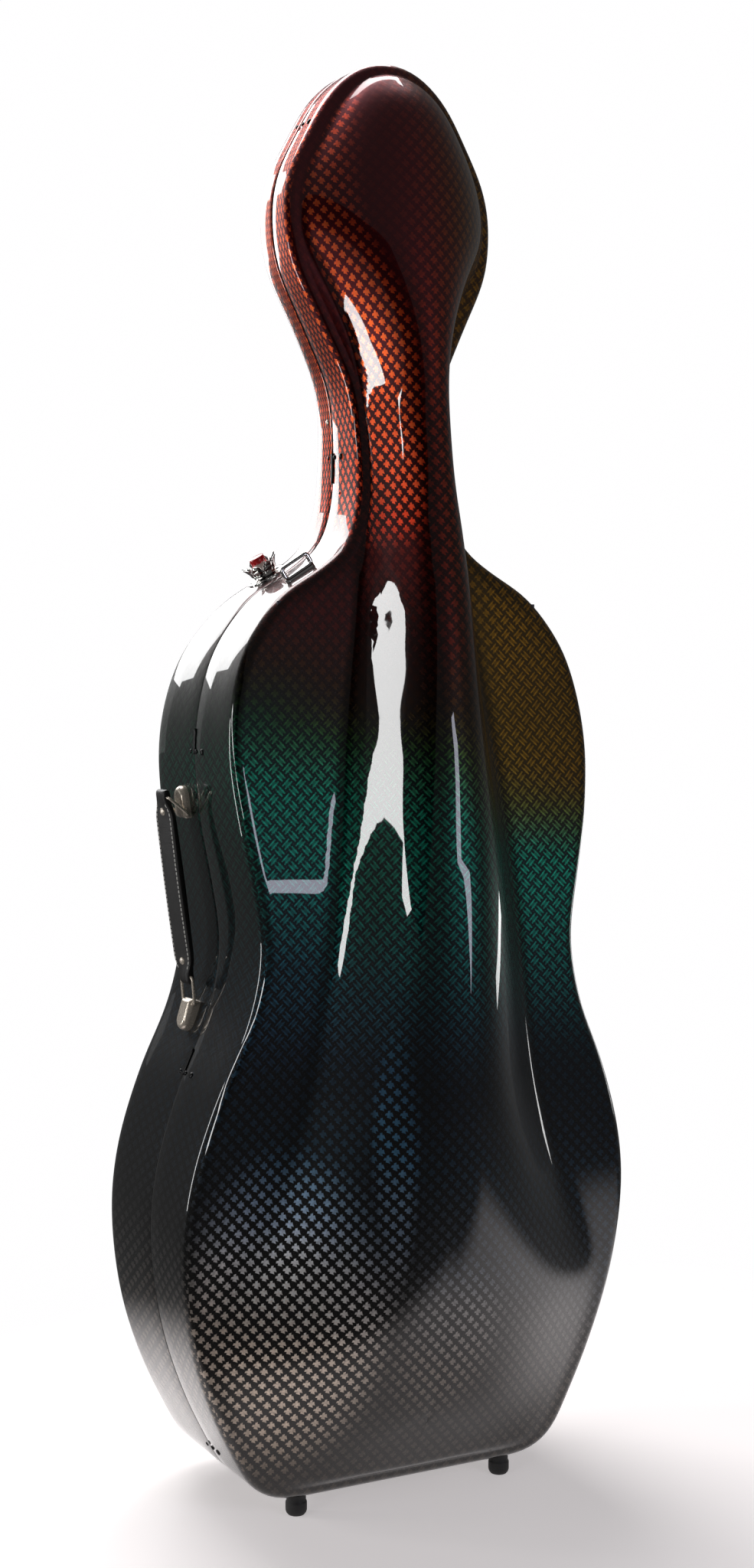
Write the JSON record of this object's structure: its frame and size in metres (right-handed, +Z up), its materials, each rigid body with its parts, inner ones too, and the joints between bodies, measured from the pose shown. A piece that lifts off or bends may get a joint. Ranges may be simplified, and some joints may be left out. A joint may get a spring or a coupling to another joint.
{
  "type": "cello hard case",
  "caption": "Upright moulded cello case: two hinged shells with a ridged lid, central lock and claws, carrying handle, feet and padded inside.",
  "frame": {"origin": "centre of the box round the whole case, at the floor under the feet", "axes": "+Z up towards the head, -Y out of the ridged lid at the front, +X towards the hinges; the handle and the lock are on the -X side"},
  "size_m": [0.4734, 0.3126, 1.335],
  "materials": {
    "weave_shell": "iridescent woven laminate under a high-gloss clear coat",
    "lining": "short black velvet pile",
    "padding": "velvet-covered foam",
    "black_rubber": "satin black rubber",
    "steel": "bright stainless steel",
    "black_metal": "black-coated rivet steel",
    "chrome": "polished chrome",
    "satin_nickel": "satin nickel plate",
    "red_button": "glossy red plastic",
    "grip_leather": "black leather with pale stitching"
  },
  "bodies": {
    "base": {"base_shell": "weave_shell", "base_lining": "lining", "rim_gasket": "black_rubber", "upper_hinge_base_leaf": "steel", "lower_hinge_base_leaf": "steel", "upper_hinge_pin": "steel", "lower_hinge_pin": "steel", "head_claw_rivet": "black_metal", "neck_claw_rivet": "black_metal", "upper_bout_claw_rivet": "black_metal", "lower_bout_claw_rivet": "black_metal", "bottom_claw_rivet": "black_metal", "neck_seam_guide": "steel", "upper_bout_seam_guide": "steel", "lower_bout_seam_guide": "steel", "lock_plate": "chrome", "lock_housing": "steel", "upper_handle_bracket": "satin_nickel", "lower_handle_bracket": "satin_nickel", "rear_left_foot": "black_rubber", "rear_right_foot": "black_rubber", "neck_cradle": "padding", "left_upper_bolster": "padding", "right_upper_bolster": "padding", "left_lower_bolster": "padding", "right_lower_bolster": "padding", "bottom_bolster": "padding"},
    "lid": {"lid_shell": "weave_shell", "lid_lining": "lining", "upper_hinge_lid_leaf": "steel", "lower_hinge_lid_leaf": "steel", "head_keeper": "steel", "neck_keeper": "steel", "upper_bout_keeper": "steel", "lower_bout_keeper": "steel", "bottom_keeper": "steel", "head_keeper_rivet": "black_metal", "neck_keeper_rivet": "black_metal", "upper_bout_keeper_rivet": "black_metal", "lower_bout_keeper_rivet": "black_metal", "bottom_keeper_rivet": "black_metal", "strap_loop": "chrome", "front_left_foot": "black_rubber", "front_right_foot": "black_rubber", "left_bow_pocket": "lining", "right_bow_pocket": "lining"},
    "knob": {"lock_knob": "chrome", "lock_spindle": "steel"},
    "button": {"lock_button": "red_button"},
    "head_claw_body": {"head_claw": "steel"},
    "neck_claw_body": {"neck_claw": "steel"},
    "upper_bout_claw_body": {"upper_bout_claw": "steel"},
    "lower_bout_claw_body": {"lower_bout_claw": "steel"},
    "bottom_claw_body": {"bottom_claw": "steel"},
    "upper_loop": {"upper_handle_loop": "satin_nickel"},
    "lower_loop": {"lower_handle_loop": "satin_nickel"},
    "grip": {"handle_grip": "grip_leather"},
    "left_clip": {"left_bow_clip": "black_rubber"},
    "right_clip": {"right_bow_clip": "black_rubber"}
  },
  "joints": [
    {"name": "lid_hinge", "type": "hinge", "parent": "base", "child": "lid", "pos_m": [0.23034, 0.01805, 0.29187], "axis": [-0.1078, 0, 0.9942], "range_deg": [0, 110]},
    {"name": "lock_knob_turn", "type": "hinge", "parent": "base", "child": "knob", "pos_m": [-0.1036, 0.05005, 0.865], "axis": [-0.5302, 0, 0.8479], "range_deg": [0, 90]},
    {"name": "lock_button_press", "type": "slide", "parent": "knob", "child": "button", "axis": [0.5302, 0, -0.8479], "range_m": [0, 0.003], "stiffness_N_per_m": 400},
    {"name": "head_claw_turn", "type": "hinge", "parent": "base", "child": "head_claw_body", "pos_m": [-0.08244, 0.02605, 1.276], "axis": [-0.8682, 0, 0.4963], "range_deg": [0, 40]},
    {"name": "neck_claw_turn", "type": "hinge", "parent": "base", "child": "neck_claw_body", "pos_m": [-0.05067, 0.02605, 0.975], "axis": [-1, 0, 0.004], "range_deg": [0, 40]},
    {"name": "upper_bout_claw_turn", "type": "hinge", "parent": "base", "child": "upper_bout_claw_body", "pos_m": [-0.19137, 0.02605, 0.704], "axis": [-0.996, 0, -0.0892], "range_deg": [0, 40]},
    {"name": "lower_bout_claw_turn", "type": "hinge", "parent": "base", "child": "lower_bout_claw_body", "pos_m": [-0.20185, 0.02605, 0.411], "axis": [-0.9257, 0, 0.3781], "range_deg": [0, 40]},
    {"name": "bottom_claw_turn", "type": "hinge", "parent": "base", "child": "bottom_claw_body", "pos_m": [-0.17852, 0.02605, 0.058], "axis": [-0.9024, 0, -0.4308], "range_deg": [0, 40]},
    {"name": "upper_loop_swing", "type": "hinge", "parent": "base", "child": "upper_loop", "pos_m": [-0.19066, 0.04705, 0.64564], "axis": [0, -1, 0], "range_deg": [0, 50]},
    {"name": "lower_loop_swing", "type": "hinge", "parent": "base", "child": "lower_loop", "pos_m": [-0.18565, 0.04705, 0.46984], "axis": [0, -1, 0], "range_deg": [0, 72.5]},
    {"name": "grip_swing", "type": "hinge", "parent": "upper_loop", "child": "grip", "pos_m": [-0.21009, 0.04705, 0.66138], "axis": [0, -1, 0], "range_deg": [-59, 0]},
    {"name": "left_bow_clip_turn", "type": "hinge", "parent": "lid", "child": "left_clip", "pos_m": [-0.14569, -0.0683, 0.2], "axis": [0, 1, 0], "range_deg": [0, 90]},
    {"name": "right_bow_clip_turn", "type": "hinge", "parent": "lid", "child": "right_clip", "pos_m": [0.13431, -0.0683, 0.2], "axis": [0, -1, 0], "range_deg": [0, 90]}
  ],
  "couplings": [
    {"joint": "head_claw_turn", "follows": "lock_knob_turn", "ratio": 0.4444},
    {"joint": "neck_claw_turn", "follows": "lock_knob_turn", "ratio": 0.4444},
    {"joint": "upper_bout_claw_turn", "follows": "lock_knob_turn", "ratio": 0.4444},
    {"joint": "lower_bout_claw_turn", "follows": "lock_knob_turn", "ratio": 0.4444},
    {"joint": "bottom_claw_turn", "follows": "lock_knob_turn", "ratio": 0.4444},
    {"joint": "lower_loop_swing", "follows": "upper_loop_swing", "ratio": 1.3776},
    {"joint": "grip_swing", "follows": "upper_loop_swing", "ratio": -1.1152}
  ]
}
